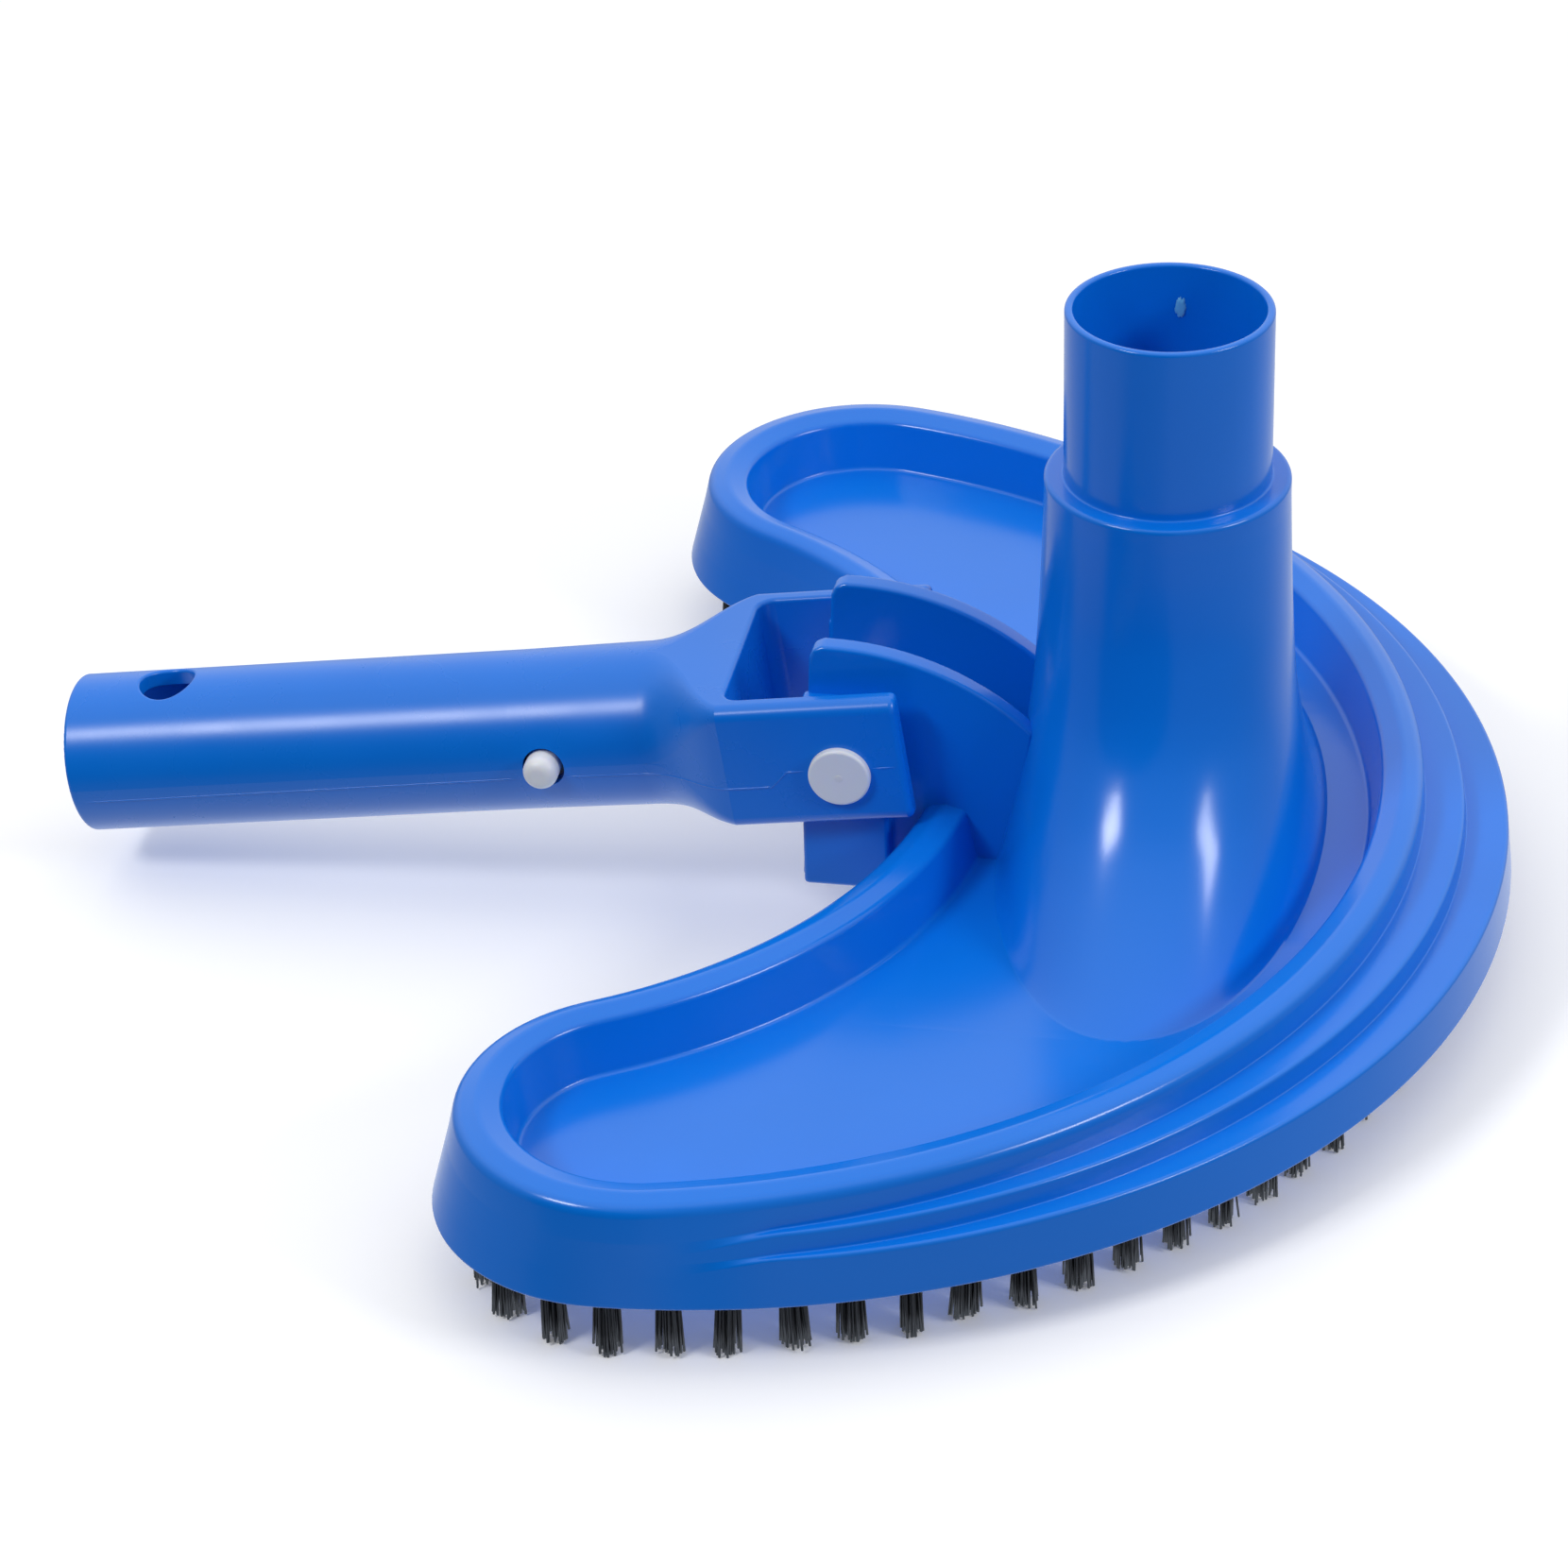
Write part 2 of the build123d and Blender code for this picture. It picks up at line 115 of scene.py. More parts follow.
# ---- camera and stage ------------------------------------------------------------------
def make_camera():
    """The camera, from its turn round the object, its height and its roll."""
    azimuth, elevation, roll = radians(11.33), radians(31.49), radians(-1.82)
    right = Vector((cos(azimuth), sin(azimuth), 0))
    ahead = Vector((-sin(azimuth) * cos(elevation), cos(azimuth) * cos(elevation), -sin(elevation)))
    up = right.cross(ahead)
    right, up = cos(roll) * right + sin(roll) * up, cos(roll) * up - sin(roll) * right
    camera = add_object("camera", bpy.data.cameras.new("camera"))
    camera.data.sensor_width = 36
    camera.data.lens = 117.3
    camera.data.clip_start, camera.data.clip_end = 0.01, 20
    place = Matrix((right, up, -ahead)).transposed().to_4x4()
    place.translation = Vector((0.1665, -0.8261, 0.5436))
    camera.matrix_world = place
    bpy.context.scene.camera = camera


def studio_light(name, azimuth, elevation, distance, size, power):
    """A soft box aimed at the object, placed by its direction from it; azimuth 0 is -Y."""
    turn, rise = radians(azimuth), radians(elevation)
    middle = Vector((0.03, 0, 0.05))
    towards = Vector((sin(turn) * cos(rise), -cos(turn) * cos(rise), sin(rise)))
    light = bpy.data.lights.new(name, "AREA")
    light.shape = "RECTANGLE"
    light.size, light.size_y = size
    light.energy = power
    lamp = add_object(name, light)
    lamp.location = middle + towards * distance
    lamp.rotation_euler = (-towards).to_track_quat("-Z", "Y").to_euler()


def make_floor():
    """A pale floor that takes shadows but doesn't show in the plastic."""
    mesh = bpy.data.meshes.new("floor")
    bm = bmesh.new()
    bmesh.ops.create_grid(bm, x_segments=1, y_segments=1, size=6)
    bm.to_mesh(mesh)
    bm.free()
    floor = add_object("floor", mesh)
    paint = bpy.data.materials.new("floor_paint")
    paint.use_nodes = True
    shader = paint.node_tree.nodes["Principled BSDF"]
    shader.inputs["Base Color"].default_value = (0.94, 0.94, 0.94, 1)
    shader.inputs["Roughness"].default_value = 0.9
    shader.inputs["Specular IOR Level"].default_value = 0.1
    shader.inputs["Emission Color"].default_value = (1, 1, 1, 1)
    shader.inputs["Emission Strength"].default_value = 0.12
    mesh.materials.append(paint)
    floor.visible_glossy = floor.visible_diffuse = False


def make_world():
    """A white room, brightest overhead, behind and below, with a dark gap on the camera's side."""
    world = bpy.data.worlds.new("studio")
    world.use_nodes = True
    nodes, links = world.node_tree.nodes, world.node_tree.links
    place = nodes.new("ShaderNodeTexCoord")

    def towards(direction, low, high, to_low, to_high):
        """A level that follows how near a direction of view is to a given one."""
        facing = nodes.new("ShaderNodeVectorMath")
        facing.operation = "DOT_PRODUCT"
        facing.inputs[1].default_value = direction
        links.new(place.outputs["Generated"], facing.inputs[0])
        level = nodes.new("ShaderNodeMapRange")
        level.inputs["From Min"].default_value, level.inputs["From Max"].default_value = low, high
        level.inputs["To Min"].default_value, level.inputs["To Max"].default_value = to_low, to_high
        links.new(facing.outputs["Value"], level.inputs["Value"])
        return level.outputs["Result"]

    shade = nodes.new("ShaderNodeValToRGB")
    ramp = shade.color_ramp.elements
    ramp[0].color, ramp[1].color = (0.16, 0.18, 0.21, 1), (1, 1, 1, 1)
    ramp.new(0.40).color = (0.19, 0.21, 0.25, 1)
    ramp.new(0.62).color = (0.36, 0.38, 0.42, 1)
    ramp.new(0.85).color = (1.06, 1.06, 1.06, 1)
    links.new(towards((0, 0.6, 0.8), -1, 1, 0, 1), shade.inputs["Fac"])
    links.new(shade.outputs["Color"], nodes["Background"].inputs["Color"])
    both = nodes.new("ShaderNodeMath")
    both.operation = "ADD"
    links.new(towards((-0.342, -0.940, 0), 0.80, 0.85, 1, 0.1), both.inputs[0])
    links.new(towards((0, 0, -1), 0.3, 0.9, 0, 4.6), both.inputs[1])
    links.new(both.outputs["Value"], nodes["Background"].inputs["Strength"])

    # what the camera sees past the floor is plain white
    backdrop = nodes.new("ShaderNodeBackground")
    backdrop.inputs["Color"].default_value = (1, 1, 1, 1)
    ray = nodes.new("ShaderNodeLightPath")
    seen = nodes.new("ShaderNodeMixShader")
    links.new(ray.outputs["Is Camera Ray"], seen.inputs["Fac"])
    links.new(nodes["Background"].outputs["Background"], seen.inputs[1])
    links.new(backdrop.outputs["Background"], seen.inputs[2])
    links.new(seen.outputs["Shader"], nodes["World Output"].inputs["Surface"])
    bpy.context.scene.world = world


def make_stage():
    make_floor()
    make_world()
    studio_light("key", -43, 44, 1.5, (0.38, 0.28), 7)
    studio_light("fill", 72, 30, 1.5, (0.50, 0.26), 6)


# ---- helpers -----------------------------------------------------------------------------
def mix(a, b, t):
    return a + (b - a) * t


def smooth_step(value):
    value = min(1.0, max(0.0, value))
    return value * value * (3 - 2 * value)


def rounded(corners, steps=5):
    """Replace each inner corner (x, z, radius) of a polyline by points along a fillet."""
    line = [corners[0][:2]]
    for before, corner, after in zip(corners, corners[1:], corners[2:]):
        here = Vector(corner[:2])
        to_before, to_after = Vector(before[:2]) - here, Vector(after[:2]) - here
        turn = to_before.angle(to_after)
        nearly_straight = turn >= pi - 1e-3
        reach = 0.2 if nearly_straight else corner[2] / max(0.05, abs(tan(turn / 2)))
        reach = min(reach, 0.48 * to_before.length, 0.48 * to_after.length)
        start, end = here + to_before.normalized() * reach, here + to_after.normalized() * reach
        for step in range(steps + 1):
            t = step / steps
            bend = start * (1 - t) ** 2 + here * (2 * t * (1 - t)) + end * t ** 2
            line.append((bend.x, bend.y))
    line.append(corners[-1][:2])
    return line


def ring(points, x, y, z, half_x, half_y, steps):
    """Add a level ellipse of points round (x, y)."""
    for step in range(steps):
        turn = 2 * pi * step / steps
        points.append((x + half_x * cos(turn), y + half_y * sin(turn), z))


def cover(faces, first, rows, count):
    """Quads over closed rows of points, from the index of the first point."""
    for low in range(first, first + (rows - 1) * count, count):
        for i in range(count):
            j = (i + 1) % count
            faces.append((low + i, low + j, low + count + j, low + count + i))


def close_ends(faces, first, rows, count):
    """A cap on the first and the last of the rows."""
    last = first + (rows - 1) * count
    faces.append(tuple(first + i for i in reversed(range(count))))
    faces.append(tuple(last + i for i in range(count)))


def mesh_of(name, points, faces):
    """A mesh in metres from points in millimetres."""
    mesh = bpy.data.meshes.new(name)
    mesh.from_pydata([(x * MM, y * MM, z * MM) for x, y, z in points], [], faces)
    mesh.validate()
    return mesh


def add_object(name, data):
    thing = bpy.data.objects.new(name, data)
    bpy.context.scene.collection.objects.link(thing)
    return thing


def new_piece(name, points, faces, body, material):
    """A piece from points in the CAD's frame, in millimetres, riding on a body."""
    mesh = mesh_of(name, points, faces)
    mesh.materials.append(material)
    mesh.shade_smooth()
    piece = add_object(name, mesh)
    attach(piece, body)
    return piece


def soften(piece, angle):
    """Mark creases by angle and weight the normals, so flats look flat and fillets round."""
    mesh = piece.data
    bm = bmesh.new()
    bm.from_mesh(mesh)
    bmesh.ops.recalc_face_normals(bm, faces=bm.faces)
    for edge in bm.edges:
        if len(edge.link_faces) == 2:
            edge.smooth = degrees(edge.calc_face_angle(0)) < angle
    bm.to_mesh(mesh)
    bm.free()
    weighted = piece.modifiers.new("weighted_normals", "WEIGHTED_NORMAL")
    weighted.keep_sharp = True
    weighted.mode = "FACE_AREA"


def cut(thing, tool, operation="DIFFERENCE"):
    """Apply a boolean with a tool object, then remove the tool."""
    change = thing.modifiers.new("cut", "BOOLEAN")
    change.operation = operation
    change.object = tool
    change.solver = "EXACT"
    graph = bpy.context.evaluated_depsgraph_get()
    mesh = bpy.data.meshes.new_from_object(thing.evaluated_get(graph))
    thing.modifiers.clear()
    old = thing.data
    thing.data = mesh
    bpy.data.meshes.remove(old)
    bpy.data.objects.remove(tool)


# ---- plan outlines of the head ---------------------------------------------------------------
class Moon:
    """A half-moon outline: a big arc, two round lobe tips and a round notch."""

    def __init__(self, big_x, big_r, tip_r, notch_x, notch_r):
        self.big_x, self.big_r, self.tip_r = big_x, big_r, tip_r
        self.notch_x, self.notch_r = notch_x, notch_r
        to_big, to_notch = big_r - tip_r, notch_r + tip_r
        gap = big_x - notch_x
        along = (to_notch**2 - to_big**2 + gap**2) / (2 * gap)
        self.tip_x = notch_x + along
        self.tip_y = sqrt(to_notch**2 - along**2)
        self.big_turn = atan2(self.tip_y, self.tip_x - big_x)
        self.notch_turn = atan2(self.tip_y, self.tip_x - notch_x)

    def depth(self, x, y):
        """How far inside the outline a point lies."""
        y = abs(y)
        turn = atan2(y - self.tip_y, x - self.tip_x) % (2 * pi)
        if self.big_turn < turn < self.notch_turn + pi:
            return self.tip_r - hypot(x - self.tip_x, y - self.tip_y)
        return min(self.big_r - hypot(x - self.big_x, y), hypot(x - self.notch_x, y) - self.notch_r)

    def stations(self, big_steps, tip_steps, notch_steps):
        """Points and inward normals round the outline, counter-clockwise from the front."""
        found = []

        def arc(x, y, r, start, end, steps, inward):
            for step in range(steps):
                turn = start + (end - start) * step / steps
                found.append((x + r * cos(turn), y + r * sin(turn),
                              inward * cos(turn), inward * sin(turn)))

        big, tip, notch = self.big_turn, self.notch_turn + pi, self.notch_turn
        arc(self.big_x, 0, self.big_r, 0, big, big_steps, -1)
        arc(self.tip_x, self.tip_y, self.tip_r, big, tip, tip_steps, -1)
        arc(self.notch_x, 0, self.notch_r, notch, -notch, notch_steps, 1)
        arc(self.tip_x, -self.tip_y, self.tip_r, pi - notch, 2 * pi - big, tip_steps, -1)
        arc(self.big_x, 0, self.big_r, -big, 0, big_steps, -1)
        return found


def distance_to(moon, station):
    """How far in from a station, along its normal, another outline lies."""
    x, y, inward_x, inward_y = station
    low, high = -5.0, 40.0
    for _ in range(40):
        middle = (low + high) / 2
        if moon.depth(x + inward_x * middle, y + inward_y * middle) < 0:
            low = middle
        else:
            high = middle
    return low


BASE = Moon(-84.6, 151.0, 34.0, -146.5, 100.0)
RIM_FOOT = Moon(-103.0, 152.4, 33.5, -143.5, 100.2)
RIM_INNER = Moon(-102.0, 143.2, 25.5, -141.3, 106.4)


# ---- head shell --------------------------------------------------------------------------------
def shell_profile(foot, inner, stepped):
    """The head's section from the underside, over the skirt, ledges and rim, into the tray.

    foot and inner: how far in from the base edge the rim's foot and its inner edge lie.
    stepped: 1 where the wall has its two ledges, 0 where it is one smooth slope.
    """
    def corner(plain, shelf):
        return tuple(mix(a, b, stepped) for a, b in zip(plain, shelf))

    def on_wall(height):
        return (foot * 0.94 * height / 16.0, height, 1.5)

    step = 0.53 * foot
    return rounded([
        (SKIN + 9.0, CEILING, 0),
        (SKIN, CEILING, 0.8),
        (SKIN, 0.0, 0.35),
        (0.0, 0.0, 0.5),
        corner(on_wall(7.0), (1.0, LEDGE_LOW, 0.9)),
        corner(on_wall(9.0), (step, LEDGE_LOW - 0.1, 0.3)),
        corner(on_wall(11.0), (step + 0.5, LEDGE_HIGH, 0.9)),
        corner(on_wall(13.2), (foot, LEDGE_HIGH - 0.1, 0.3)),
        (foot + 0.45, RIM - 0.5, 2.6),
        (mix(foot, inner, 0.52), RIM + 0.45, 2.8),
        (inner + 0.1, RIM - 0.8, 1.6),
        (inner + TRAY_SLOPE, FLOOR, 1.1),
        (inner + 2 * TRAY_SLOPE, FLOOR, 0),
    ])


def ledges_at(station):
    """How far the two ledges stand out at a station: they fade along the big arc's ends."""
    x, y, inward_x, inward_y = station
    on_big_arc = inward_x * (x - BASE.big_x) < 0 or abs(y) > BASE.tip_y
    return smooth_step((x - FADE_END) / FADE_LENGTH) if on_big_arc else 0.0


def spread(height):
    """Half-widths of the throat at a height, on a smooth curve through its table."""
    for i in range(len(THROAT) - 1):
        if height <= THROAT[i + 1][0] or i == len(THROAT) - 2:
            break
    low, high = THROAT[i], THROAT[i + 1]
    before, after = THROAT[max(0, i - 1)], THROAT[min(len(THROAT) - 1, i + 2)]
    span = high[0] - low[0]
    t = (height - low[0]) / span
    found = []
    for k in (1, 2):
        start = (high[k] - before[k]) / (high[0] - before[0]) * span
        end = (after[k] - low[k]) / (after[0] - low[0]) * span
        found.append((2 * t**3 - 3 * t**2 + 1) * low[k] + (t**3 - 2 * t**2 + t) * start
                     + (3 * t**2 - 2 * t**3) * high[k] + (t**3 - t**2) * end)
    return found


def duct_profile():
    """(height, half-width across, half-width along): up the outside, then down the duct."""
    outside = [(height, *spread(height)) for height in THROAT_HEIGHTS]
    port = rounded([(COLLAR_RADIUS, COLLAR - 4, 0), (COLLAR_RADIUS, COLLAR, 1.0),
                    (PORT_RADIUS + 0.1, COLLAR, 0.5), (PORT_RADIUS, PORT, 0.7),
                    (PORT_BORE, PORT, 0.6), (PORT_BORE, COLLAR - 1.5, 2.0),
                    (NECK_BORE, COLLAR - 6, 2.0), (NECK_BORE, COLLAR - 9, 0)])
    inside = [(height, half_x - SKIN, half_y - SKIN) for height, half_x, half_y in reversed(outside[:-3])]
    foot = (CEILING, *[half - SKIN for half in spread(FLOOR)])
    return outside + [(height, r, r) for r, height in port] + inside + [foot]


def build_shell(material):
    """The half-moon with its skirt, ledges, rim and tray, the throat and the hose port."""
    points, faces = [], []
    stations = BASE.stations(110, 44, 84)
    count = len(stations)
    profiles = [shell_profile(distance_to(RIM_FOOT, s), distance_to(RIM_INNER, s), ledges_at(s))
                for s in stations]
    rows = len(profiles[0])
    for row in range(rows):
        for (x, y, inward_x, inward_y), profile in zip(stations, profiles):
            depth, height = profile[row]
            points.append((PORT_X + x + inward_x * depth, y + inward_y * depth, BASE_Z + height))
    cover(faces, 0, rows, count)

    duct = duct_profile()
    duct_first = len(points)
    for height, half_x, half_y in duct:
        ring(points, PORT_X, 0, BASE_Z + height, half_x, half_y, AROUND)
    cover(faces, duct_first, len(duct), AROUND)

    def fill(outer_first, inner_first):
        """A flat face between a row of the half-moon and a row of the duct."""
        outer_ids = list(range(outer_first, outer_first + count))
        inner_ids = list(range(inner_first, inner_first + AROUND))
        ids = outer_ids + inner_ids
        loops = [[Vector(points[i]) for i in outer_ids], [Vector(points[i]) for i in inner_ids]]
        for triangle in tessellate_polygon(loops):
            faces.append(tuple(ids[i] for i in triangle))

    fill((rows - 1) * count, duct_first)
    fill(0, duct_first + (len(duct) - 1) * AROUND)
    shell = new_piece("shell_skin", points, faces, "head", material)
    soften(shell, 50)
    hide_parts("head_shell")


# ---- hinge ears ---------------------------------------------------------------------------------
def plate(name, outline, low_y, high_y, edge):
    """An upright plate from an outline of (x, z) points, between two y, with rounded edges."""
    bm = bmesh.new()
    low = [bm.verts.new(Vector((PORT_X + x, low_y, BASE_Z + z)) * MM) for x, z in outline]
    high = [bm.verts.new(Vector((PORT_X + x, high_y, BASE_Z + z)) * MM) for x, z in outline]
    bm.faces.new(low)
    bm.faces.new(list(reversed(high)))
    for i in range(len(outline)):
        j = (i + 1) % len(outline)
        bm.faces.new((low[j], low[i], high[i], high[j]))
    bmesh.ops.recalc_face_normals(bm, faces=bm.faces)
    sharp = [e for e in bm.edges if e.calc_face_angle(0) > radians(40)]
    bmesh.ops.bevel(bm, geom=sharp, offset=edge * MM, segments=3, profile=0.5, affect="EDGES")
    return to_object(name, bm)


def to_object(name, bm):
    """An object that takes over a bmesh."""
    mesh = bpy.data.meshes.new(name)
    bm.to_mesh(mesh)
    bm.free()
    return add_object(name, mesh)


def pin_drill():
    """A tool for the hinge pin's bore, through both ears."""
    bm = bmesh.new()
    bmesh.ops.create_cone(bm, cap_ends=True, segments=48, radius1=PIN_BORE * MM, radius2=PIN_BORE * MM,
                          depth=DRILL_LENGTH * MM)
    bmesh.ops.rotate(bm, verts=bm.verts, matrix=Matrix.Rotation(pi / 2, 3, "X"))
    bmesh.ops.translate(bm, verts=bm.verts, vec=hinge_point)
    return to_object("drill", bm)


def ear_outline():
    """Up the free edge, along the curved crest, down inside the throat's wall and back."""
    outline = [(-67.6, EAR_FOOT), (-65.35, 50.4), (-64.6, 52.2), (-62.9, EAR_TOP)]
    crest_steps = 16
    for step in range(crest_steps + 1):
        x = mix(EAR_CURVE_X, EAR_BACK, step / crest_steps)
        drop = EAR_CURVE_RADIUS - sqrt(EAR_CURVE_RADIUS**2 - (x - EAR_CURVE_X)**2)
        outline.append((x, EAR_TOP - drop))
    for height in (30.0, 24.0, 18.0, 12.0, EAR_HEEL):
        half_x, half_y = spread(max(height, FLOOR))
        outline.append((EAR_BITE - half_x * sqrt(1 - (EAR_MIDDLE / half_y)**2), height))
    return outline + [(EAR_HEEL_X, EAR_HEEL), (EAR_HEEL_X, EAR_FOOT)]


def build_ears(material):
    """The two hinge ears, each with the spacer pad that a yoke arm turns against."""
    pad_outline = [(-66.6, 3.0), (-66.6, 43.0), (-50.0, 43.0), (-50.0, 3.0)]
    for side, name in ((1, "left"), (-1, "right")):
        ear = plate("ear_" + name, ear_outline(), side * EAR_INNER, side * EAR_OUTER, EAR_EDGE)
        pad = plate("pad", pad_outline, side * PAD_INNER, side * PAD_OUTER, PAD_EDGE)
        cut(ear, pad, "UNION")
        cut(ear, pin_drill())
        ear.data.materials.append(material)
        ear.data.shade_smooth()
        soften(ear, 38)
        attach(ear, "head")


# ---- bristles ------------------------------------------------------------------------------------
def islands(node):
    """Middle (x, y) of each separate solid in a CAD node, in millimetres."""
    bm = bmesh.new()
    bm.from_mesh(frame["nodes"][node].data)
    bmesh.ops.remove_doubles(bm, verts=bm.verts, dist=1e-6)
    left, found = set(bm.verts), []
    while left:
        stack, group = [left.pop()], []
        while stack:
            vert = stack.pop()
            group.append(vert)
            for edge in vert.link_edges:
                other = edge.other_vert(vert)
                if other in left:
                    left.remove(other)
                    stack.append(other)
        xs, ys = [v.co.x for v in group], [v.co.y for v in group]
        found.append(((min(xs) + max(xs)) / 2 / MM, (min(ys) + max(ys)) / 2 / MM))
    bm.free()
    return sorted(found)


def filament(points, faces, foot, tip, bend, radius):
    """One bristle: a thin five-sided rod that bends a little on its way to the tip."""
    sides, spans = 5, 4
    first = len(points)
    for row in range(spans + 1):
        t = row / spans
        x = mix(foot[0], tip[0], t) + bend[0] * t * (1 - t)
        y = mix(foot[1], tip[1], t) + bend[1] * t * (1 - t)
        ring(points, x, y, mix(foot[2], tip[2], t), radius, radius, sides)
    cover(faces, first, spans + 1, sides)
    close_ends(faces, first, spans + 1, sides)


def build_bristles(material):
    """Every row of tufts, as leaning bundles of loose filaments."""
    nodes = sorted(n for n in frame["nodes"] if n.startswith("tufts_"))
    for node in nodes:
        low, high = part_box(node)
        top, bottom = high.z / MM, low.z / MM
        points, faces = [], []
        for x, y in islands(node):
            lean = (random.uniform(-0.5, 0.5), random.uniform(-0.5, 0.5))
            for _ in range(FILAMENTS):
                turn, share = random.uniform(0, 2 * pi), sqrt(random.random())
                foot_r, tip_r = TUFT_FOOT * share, random.uniform(2.1, 3.2) * share
                foot = (x + foot_r * cos(turn), y + foot_r * sin(turn), top - 0.3)
                wander = (random.gauss(0, 0.18), random.gauss(0, 0.18))
                tip = (x + tip_r * cos(turn) + lean[0] + wander[0],
                       y + tip_r * sin(turn) + lean[1] + wander[1],
                       bottom + max(0.02, random.gauss(0.55, 0.45)))
                bend = (random.uniform(-0.8, 0.8), random.uniform(-0.8, 0.8))
                filament(points, faces, foot, tip, bend, random.uniform(0.20, 0.27))
        row = new_piece("bristles_" + node[-2:], points, faces, "head", material)
        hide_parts(node)


# ---- moulding marks --------------------------------------------------------------------------------
def bead(name, path, normals, material):
    """A fine raised line on the handle, through points on its surface."""
    points, faces = [], []
    # (share of the width to one side, share of the height) round the line's section
    section = ((-0.5, -0.6), (-0.3, 0.75), (0.0, 1.0), (0.3, 0.75), (0.5, -0.6))
    last = len(path) - 1
    for i, (spot, normal) in enumerate(zip(path, normals)):
        along = path[min(i + 1, last)] - path[max(i - 1, 0)]
        across = along.cross(normal).normalized()
        fade = min(1.0, 0.2 + 0.4 * min(i, last - i))
        for shift, rise in section:
            points.append(tuple(spot / MM + across * shift * LINE_WIDTH * fade
                                + normal * rise * LINE_HEIGHT * fade))
    cover(faces, 0, len(path), len(section))
    close_ends(faces, 0, len(path), len(section))
    line = new_piece(name, points, faces, "handle", material)
    soften(line, 60)


def build_parting_lines(material):
    """Where the handle mould's halves met: a line along each side, with a jog beside the pin."""
    mesh = frame["nodes"]["handle"].data
    surface = BVHTree.FromPolygons([v.co for v in mesh.vertices], [p.vertices for p in mesh.polygons])
    # (distance from the hinge towards the tube's open end, height over the tube's axis)
    routes = {
        "front": [(-11.0, 1.0), (-6.6, 1.0)],
        "middle": [(6.6, 1.1), (10.2, 1.1), (13.6, -2.0), (22.0, -2.0), (34.0, -2.4), (57.0, -2.2)],
        "tube": [(64.5, -2.2), (154.0, -2.7)],
    }
    for side, side_name in ((-1, "right"), (1, "left")):
        for route_name, corners in routes.items():
            path, normals = [], []
            for (u0, w0), (u1, w1) in zip(corners, corners[1:]):
                steps = max(2, round(hypot(u1 - u0, w1 - w0) / LINE_STEP))
                for step in range(steps if (u1, w1) != corners[-1] else steps + 1):
                    u, w = mix(u0, u1, step / steps), mix(w0, w1, step / steps)
                    well_outside = Vector((0, side * 60 * MM, 0))
                    start = hinge_point + (tube_along * u + tube_up * w) * MM + well_outside
                    spot, normal, _, _ = surface.ray_cast(start, Vector((0, -side, 0)))
                    if spot is not None and abs(normal.y) > 0.4:
                        path.append(spot)
                        normals.append(normal)
            bead(f"parting_line_{side_name}_{route_name}", path, normals, material)


def nub(name, place, normal, up, size, profile, ragged, body, material):
    """A small raised mark: rings of (share of the half size, height) up to a flat middle."""
    across = up.cross(normal).normalized()
    points, faces = [], []
    around = 24
    for share, rise in profile:
        for step in range(around):
            turn = 2 * pi * step / around
            reach = share * (1 + ragged * random.uniform(-1, 1))
            spot = place / MM + across * size[0] * reach * cos(turn) + up * size[1] * reach * sin(turn)
            points.append(tuple(spot + normal * rise * (1 + ragged * random.uniform(-1, 1))))
    cover(faces, 0, len(profile), around)
    close_ends(faces, 0, len(profile), around)
    mark = new_piece(name, points, faces, body, material)
    soften(mark, 50)


def build_gate_marks(shell_material, handle_material, pin_material):
    """The sprue scar inside the port, the gate dot on the pin's head and the stub under the tube."""
    to_front, straight_up = Vector((0, -1, 0)), Vector((0, 0, 1))
    scar_place = Vector((PORT_X, PORT_BORE - 0.02, BASE_Z + SCAR_HEIGHT)) * MM
    nub("gate_scar", scar_place, to_front, straight_up, (0.95, 2.1),
        [(1.0, -0.1), (0.95, 0.14), (0.75, 0.3), (0.4, 0.34)],
        0.22, "head", shell_material)
    pin_low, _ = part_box("hinge_pin")
    dot_place = Vector((hinge_point.x, pin_low.y, hinge_point.z))
    nub("pin_gate_dot", dot_place, to_front, straight_up, (0.8, 0.8),
        [(1.0, -0.1), (0.9, 0.04), (0.5, 0.07)],
        0.0, "handle", pin_material)
    stub_place = hinge_point + (tube_along * STUB_AT - tube_up * TUBE_RADIUS) * MM
    nub("tube_stub", stub_place, -tube_up, tube_along, (2.5, 2.5),
        [(1.0, -0.4), (1.0, 0.55), (0.94, 0.78), (0.8, 0.9)],
        0.0, "handle", handle_material)


# ---- ring screws -----------------------------------------------------------------------------------
def cross_recess(points, faces, x, y, bottom):
    """Add a tapered cross round (x, y), turned at random, that cuts a screw head from below."""
    aim = random.uniform(0, pi / 2)
    reach, half = RECESS_REACH, RECESS_HALF_WIDTH
    first = len(points)
    for z, size in ((bottom - 0.4, 1.0), (bottom + RECESS_DEPTH, 0.62)):
        for quarter in range(4):
            turn = aim + quarter * pi / 2
            for u, v in ((reach, -half), (reach, half), (half, half)):
                points.append((x + size * (u * cos(turn) - v * sin(turn)),
                               y + size * (u * sin(turn) + v * cos(turn)), z))
    cover(faces, first, 2, 12)
    close_ends(faces, first, 2, 12)


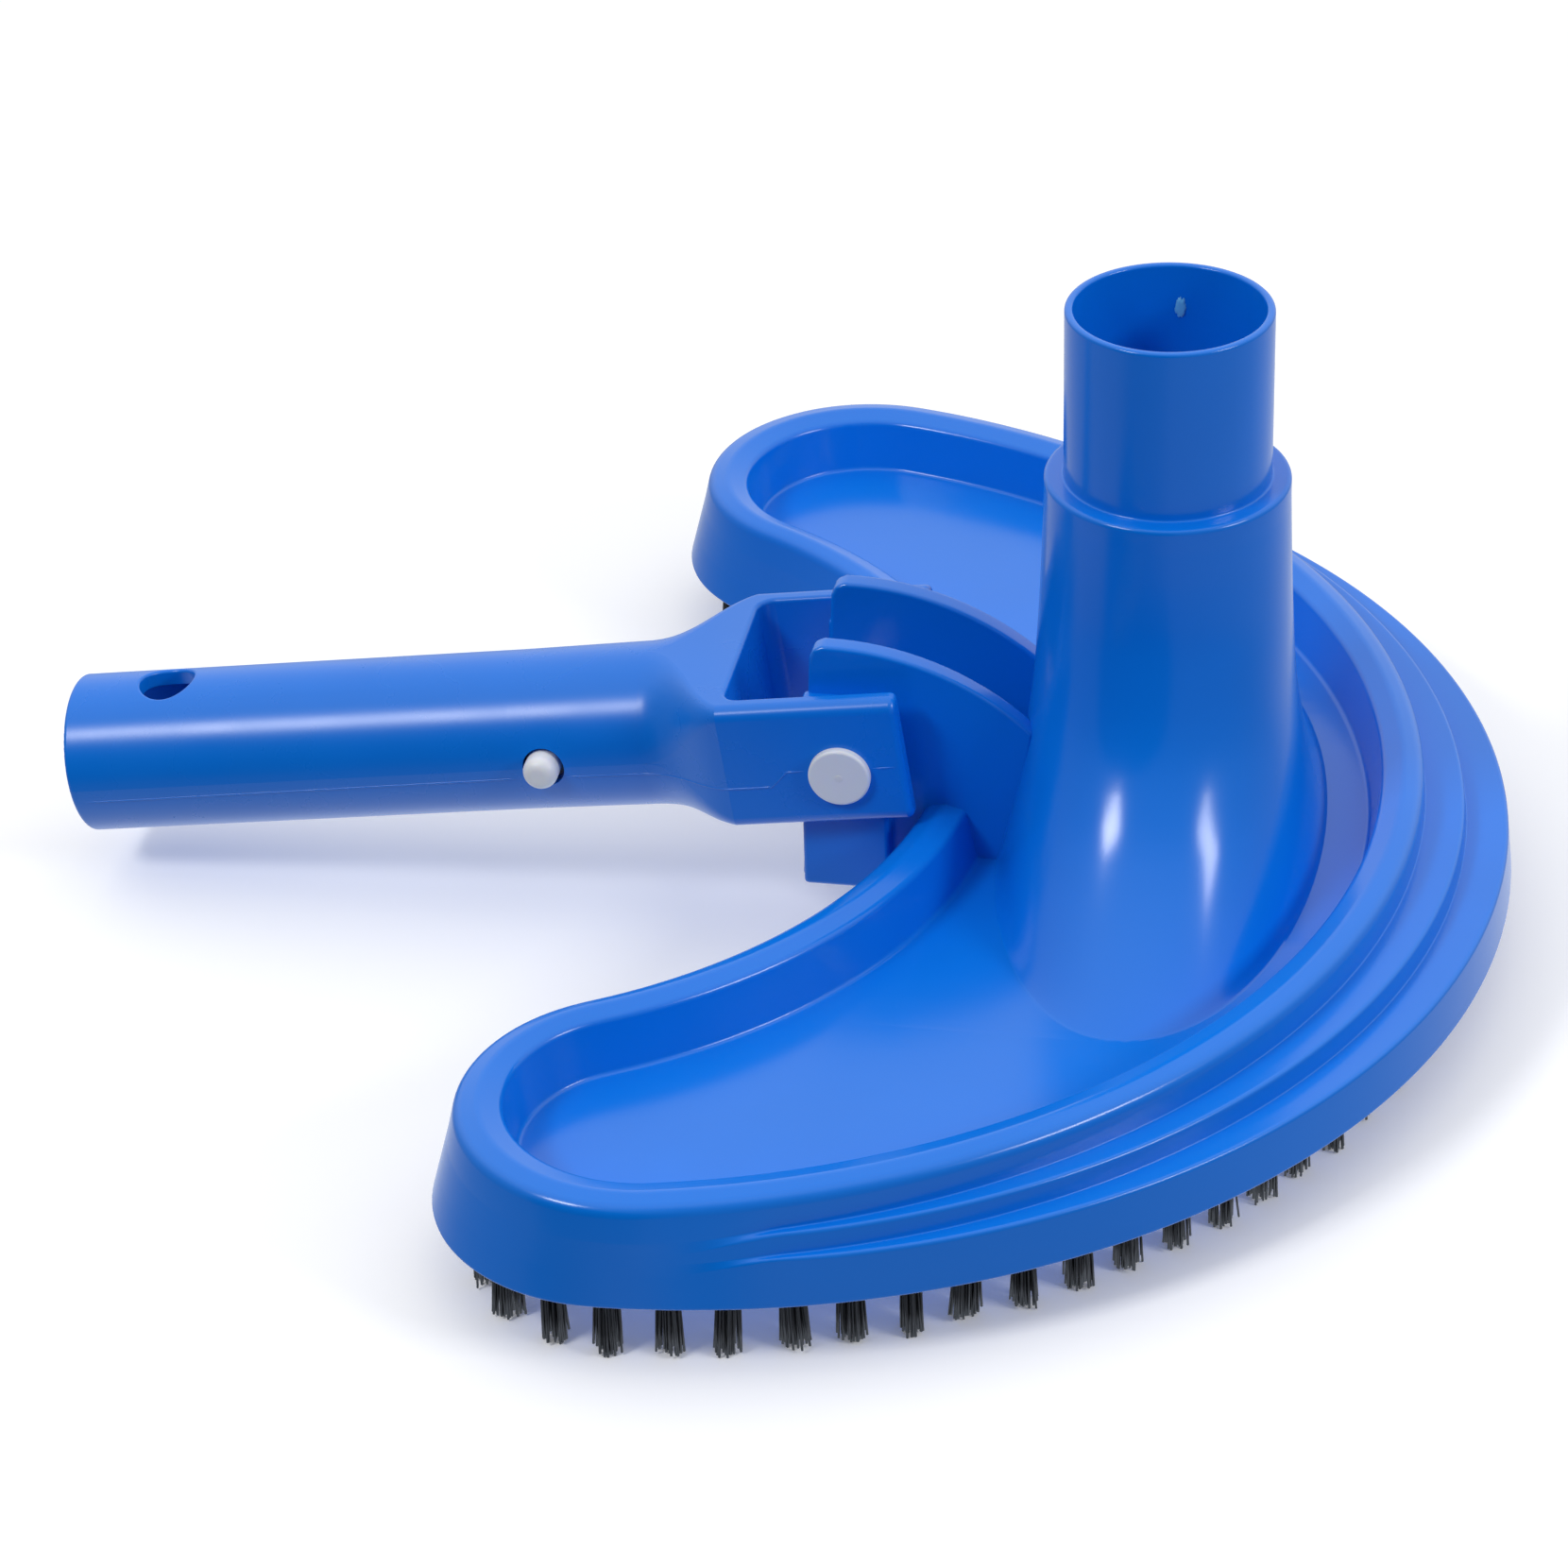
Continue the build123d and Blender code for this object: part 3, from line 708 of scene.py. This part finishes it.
def build_screws(material):
    """Pan-head screws up through the brush ring, each with a cross recess in its head."""
    low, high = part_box("ring_screws")
    bottom, top = low.z / MM, high.z / MM
    head_top = bottom + SCREW_HEAD_DEPTH
    profile = rounded([(0.02, bottom, 0), (1.7, bottom, 1.6), (SCREW_HEAD, bottom + 0.9, 0.9),
                       (SCREW_HEAD, head_top, 0.15), (SCREW_SHANK, head_top, 0.1),
                       (SCREW_SHANK, top - 1.6, 0.3), (0.02, top, 0)])
    around = 32
    points, faces, tool_points, tool_faces = [], [], [], []
    for x, y in islands("ring_screws"):
        first = len(points)
        for r, z in profile:
            ring(points, x, y, z, r, r, around)
        cover(faces, first, len(profile), around)
        close_ends(faces, first, len(profile), around)
        cross_recess(tool_points, tool_faces, x, y, bottom)
    screws = new_piece("screws", points, faces, "head", material)
    cut(screws, add_object("recesses", mesh_of("recesses", tool_points, tool_faces)))
    soften(screws, 40)
    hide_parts("ring_screws")


# ---- materials --------------------------------------------------------------------------------------
def plastic(name, colour, roughness, mottle=0.04, grain=0.02, wave=0.05, subsurface=0.0):
    """Moulded plastic: faint flow mottling, uneven gloss, micro-texture and slow sink waves."""
    material = bpy.data.materials.new(name)
    material.use_nodes = True
    nodes, links = material.node_tree.nodes, material.node_tree.links
    shader = nodes["Principled BSDF"]
    place = nodes.new("ShaderNodeTexCoord")

    def noise(scale, detail, distortion=0.0):
        texture = nodes.new("ShaderNodeTexNoise")
        texture.inputs["Scale"].default_value = scale
        texture.inputs["Detail"].default_value = detail
        texture.inputs["Distortion"].default_value = distortion
        links.new(place.outputs["Object"], texture.inputs["Vector"])
        return texture.outputs["Fac"]

    def bump(height, strength, distance):
        node = nodes.new("ShaderNodeBump")
        node.inputs["Strength"].default_value = strength
        node.inputs["Distance"].default_value = distance
        links.new(height, node.inputs["Height"])
        return node

    tint = nodes.new("ShaderNodeValToRGB")
    dark, light = tint.color_ramp.elements
    dark.position, light.position = 0.3, 0.7
    dark.color = (*[c * (1 - mottle) for c in colour], 1)
    light.color = (*[min(1, c * (1 + mottle)) for c in colour], 1)
    links.new(noise(14, 4, 0.6), tint.inputs["Fac"])
    links.new(tint.outputs["Color"], shader.inputs["Base Color"])

    gloss = nodes.new("ShaderNodeMapRange")
    gloss.inputs["To Min"].default_value = roughness * 0.85
    gloss.inputs["To Max"].default_value = roughness * 1.2
    links.new(noise(60, 6), gloss.inputs["Value"])
    links.new(gloss.outputs["Result"], shader.inputs["Roughness"])

    fine = bump(noise(900, 2), grain, 0.0002)
    swell = bump(noise(26, 1), wave, 0.001)
    links.new(fine.outputs["Normal"], swell.inputs["Normal"])
    links.new(swell.outputs["Normal"], shader.inputs["Normal"])

    shader.inputs["IOR"].default_value = 1.5
    shader.inputs["Subsurface Weight"].default_value = subsurface
    shader.inputs["Subsurface Radius"].default_value = (0.2, 0.4, 1.0)
    shader.inputs["Subsurface Scale"].default_value = 0.002
    return material


def metal(name, colour, roughness):
    """The same uneven surface on bare metal."""
    material = plastic(name, colour, roughness, mottle=0.08, grain=0.1)
    material.node_tree.nodes["Principled BSDF"].inputs["Metallic"].default_value = 1.0
    return material


def dress(node, material):
    """Give a CAD node that stays its finish."""
    for material_slot in frame["nodes"][node].material_slots:
        material_slot.material = material


# ---- the whole object ---------------------------------------------------------------------------------
make_camera()
make_stage()
BLUE = (0.001, 0.172, 0.72)
blue = plastic("blue_gloss", BLUE, 0.19)
handle_blue = plastic("blue_handle", BLUE, 0.27, wave=0.08)
scar_blue = plastic("blue_scar", (0.14, 0.52, 0.95), 0.5, mottle=0.3, grain=0.3)
blue_matte = plastic("blue_satin", (0.006, 0.11, 0.56), 0.34, grain=0.06)
white = plastic("white_nylon", (0.8, 0.81, 0.84), 0.38, mottle=0.02, subsurface=0.15)
black = plastic("bristle_black", (0.026, 0.026, 0.028), 0.38, mottle=0.5)
steel = metal("screw_steel", (0.62, 0.63, 0.64), 0.28)

build_shell(blue)
build_ears(blue)
build_bristles(black)
build_parting_lines(handle_blue)
build_gate_marks(scar_blue, handle_blue, white)
build_screws(steel)
dress("handle", handle_blue)
dress("brush_ring", blue_matte)
for node in ("hinge_pin", "hinge_pin_cap", "snap_clip_bend", "snap_clip_left", "snap_clip_right"):
    dress(node, white)

bpy.context.scene.view_settings.view_transform = "Standard"
